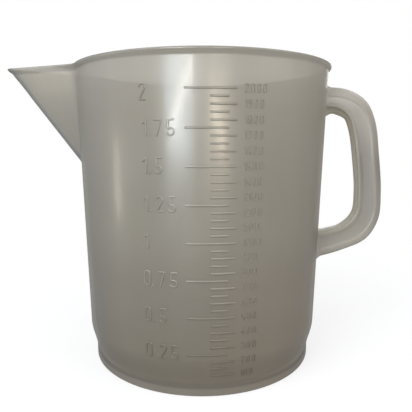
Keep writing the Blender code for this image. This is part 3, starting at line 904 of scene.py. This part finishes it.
# ------------------------------------------------------------------ the jug
bowl = build_bowl()
for material in (  # in the order of ZONE_SLOTS
    polypropylene("underside_polypropylene", UNDERSIDE_STOPS, see=0.30),
    polypropylene("wall_polypropylene", WALL_STOPS, see=0.25, thick=THICK_STOPS,
                  accent=("fold", FOLD_STOPS)),
    polypropylene("inside_polypropylene", INSIDE_STOPS, see=0.38, thick=THICK_STOPS,
                  accent=("fold", LIP_SHADE_STOPS), rough=(0.24, 0.32), coat=0.1),
    polypropylene("bottom_polypropylene", BOTTOM_STOPS, see=0.40),
):
    bowl.data.materials.append(material)

handle = build_handle()
# the handle's light and shade are painted into its web, flange and finger-side colours
handle.data.materials.append(polypropylene(
    "handle_polypropylene", HANDLE_WEB, see=0.05, thick=HANDLE_FLANGE,
    accent=("finger", HANDLE_FINGER), glow=0.34, rough=(0.36, 0.46), coat=0.1, edge=0.0, tinted=0.0))

scale_pieces = build_scale()
for piece in scale_pieces:
    piece.data.materials.append(
        polypropylene(piece.name + "_polypropylene", RELIEF_STOPS, see=0.12, bump=0.0))

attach(bowl, "root")
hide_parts("jug_wall", "base_floor", "foot_ring", "pouring_spout", "rim_lip")
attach(handle, "root")
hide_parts("handle_outer_flange", "handle_inner_flange", "handle_web")
for piece in scale_pieces:
    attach(piece, "root")

# ------------------------------------------------------------------ studio, in metres
STUDIO_FLOOR_Z = -0.0002
STUDIO_FLOOR_RADII = (0.3, 0.8, 2.0, 8.0)
STUDIO_FLOOR_SIDES = 96
LIGHT_TARGET_Z = 0.12
WALL_FRONT_Y = -0.068  # the glossy lights aim at the wall's near side

# name, (azimuth, elevation) in degrees, distance, (width, height) in degrees, radiance, roll, colour
SOFT_LIGHTS = (
    ("key_window", (-40, 38), 1.1, (36, 44), 4.6, 0, (0.95, 0.975, 1.0)),
    ("fill_window", (62, 26), 1.2, (36, 40), 2.3, 0, (1.0, 0.97, 0.94)),
)
GLOSSY_LIGHTS = (
    ("window_glint", (-17.6, 3.9), 1.2, (2.8, 22), 79, -65, (1.0, 0.96, 0.87)),
    ("window_halo", (-19.8, -0.5), 1.25, (23, 23), 19, 0, (0.74, 0.88, 1.0)),
    ("side_lamp_glint", (-83, -9), 0.5, (8, 15), 12, 0, (1.0, 0.90, 0.74)),
    ("side_lamp_halo", (-66, -13), 0.8, (22, 20), 1.8, 0, (0.72, 0.86, 1.0)),
    ("lamp_glint", (14.5, 0.5), 0.5, (5.0, 14), 50, 50, (1.0, 0.87, 0.68)),
    ("back_window", (160, 24), 1.2, (26, 40), 3, 0, (0.95, 0.975, 1.0)),
    ("lamp_halo", (13, -1), 0.8, (24, 18), 4.5, 0, (1.0, 0.94, 0.84)),
)


def floor_material():
    """Matt near the jug, to keep a soft shadow, and fading into the white studio."""
    nodes = material_nodes("studio_floor")
    distance = nodes.node("VectorMath")
    distance.operation = "LENGTH"
    nodes.put(distance.inputs[0], nodes.coords)
    far = nodes.remap(distance.outputs["Value"], (0.11, 0.36), (0.72, 1.0))
    far = nodes.node("Clamp", Value=far).outputs[0]
    grain = nodes.noise((300.0, 300.0, 300.0))
    tone = nodes.ramp(grain, [(0.3, (0.94, 0.94, 0.94)), (0.7, (0.96, 0.96, 0.96))])
    matt = nodes.node("BsdfDiffuse", Color=tone)
    seen = nodes.node("LightPath").outputs["Is Camera Ray"]
    strength = nodes.remap(seen, (0.0, 1.0), (0.46, 1.0))
    glow = nodes.node("Emission", Strength=strength, Color=(1.0, 1.0, 1.0, 1.0))
    return nodes.finish(nodes.mix_shaders(far, matt.outputs[0], glow.outputs[0]))


def build_floor():
    mesh = bpy.data.meshes.new("studio_floor")
    sides = STUDIO_FLOOR_SIDES
    verts = [(0.0, 0.0, STUDIO_FLOOR_Z)]
    for radius in STUDIO_FLOOR_RADII:
        for i in range(sides):
            angle = 2 * math.pi * i / sides
            verts.append((radius * math.cos(angle), radius * math.sin(angle), STUDIO_FLOOR_Z))
    faces = [(0, 1 + i, 1 + (i + 1) % sides) for i in range(sides)]
    for k in range(len(STUDIO_FLOOR_RADII) - 1):
        near, far = 1 + k * sides, 1 + (k + 1) * sides
        for i in range(sides):
            j = (i + 1) % sides
            faces.append((near + i, far + i, far + j, near + j))
    mesh.from_pydata(verts, [], faces)
    mesh.materials.append(floor_material())
    link_object("studio_floor", mesh)


def build_world():
    """White to the camera, dimmer to reflections than to diffuse light."""
    world = bpy.data.worlds.new("studio")
    bpy.context.scene.world = world
    nodes = Nodes(world, "OutputWorld")
    path = nodes.node("LightPath").outputs

    def background(colour, strength):
        return nodes.node("Background", Color=(*colour, 1.0), Strength=strength).outputs[0]

    diffuse, glossy = background((0.95, 0.97, 1.0), 0.78), background((0.97, 0.98, 1.0), 0.32)
    lighting = nodes.mix_shaders(path["Is Glossy Ray"], diffuse, glossy)
    white = background((1.0, 1.0, 1.0), 1.0)
    nodes.finish(nodes.mix_shaders(path["Is Camera Ray"], lighting, white))


def area_light(name, direction, distance, spread, radiance, roll, colour, glossy_only):
    """A soft rectangular light, its spread in degrees as seen from where it aims.

    Azimuth 0 stands where the camera is and 90 at the handle's side.  radiance is its brightness
    against a white of 1."""
    data = bpy.data.lights.new(name, "AREA")
    data.shape = "RECTANGLE"
    data.size, data.size_y = (
        2 * distance * math.tan(math.radians(angle / 2)) for angle in spread)
    data.energy = radiance * math.pi * data.size * data.size_y
    data.color = colour
    light = bpy.data.objects.new(name, data)
    azimuth, elevation = (math.radians(angle) for angle in direction)
    aim = Vector((AXIS.x, WALL_FRONT_Y if glossy_only else 0.0, LIGHT_TARGET_Z))
    light.location = aim + distance * Vector((
        math.sin(azimuth) * math.cos(elevation),
        -math.cos(azimuth) * math.cos(elevation),
        math.sin(elevation),
    ))
    turn = (aim - light.location).to_track_quat("-Z", "Y")
    light.rotation_mode = "QUATERNION"
    light.rotation_quaternion = turn @ Quaternion((0.0, 0.0, 1.0), math.radians(roll))
    bpy.context.scene.collection.objects.link(light)
    light.visible_camera = False
    if glossy_only:
        light.visible_diffuse = False
        light.visible_transmission = False


def build_camera():
    data = bpy.data.cameras.new("camera")
    data.sensor_width = 36.0
    data.lens = 39.705
    data.shift_x = 0.00946602
    data.shift_y = 0.00121359
    camera = link_object("camera", data)
    camera.location = (AXIS.x, -0.27337, 0.12523)
    camera.rotation_euler = (math.radians(90 - 8.21), 0.0, 0.0)  # looking a little down
    bpy.context.scene.camera = camera


build_floor()
build_world()
for light_row in SOFT_LIGHTS:
    area_light(*light_row, glossy_only=False)
for light_row in GLOSSY_LIGHTS:
    area_light(*light_row, glossy_only=True)
build_camera()

bpy.context.scene.view_settings.view_transform = "Standard"
bpy.context.scene.view_settings.look = "None"
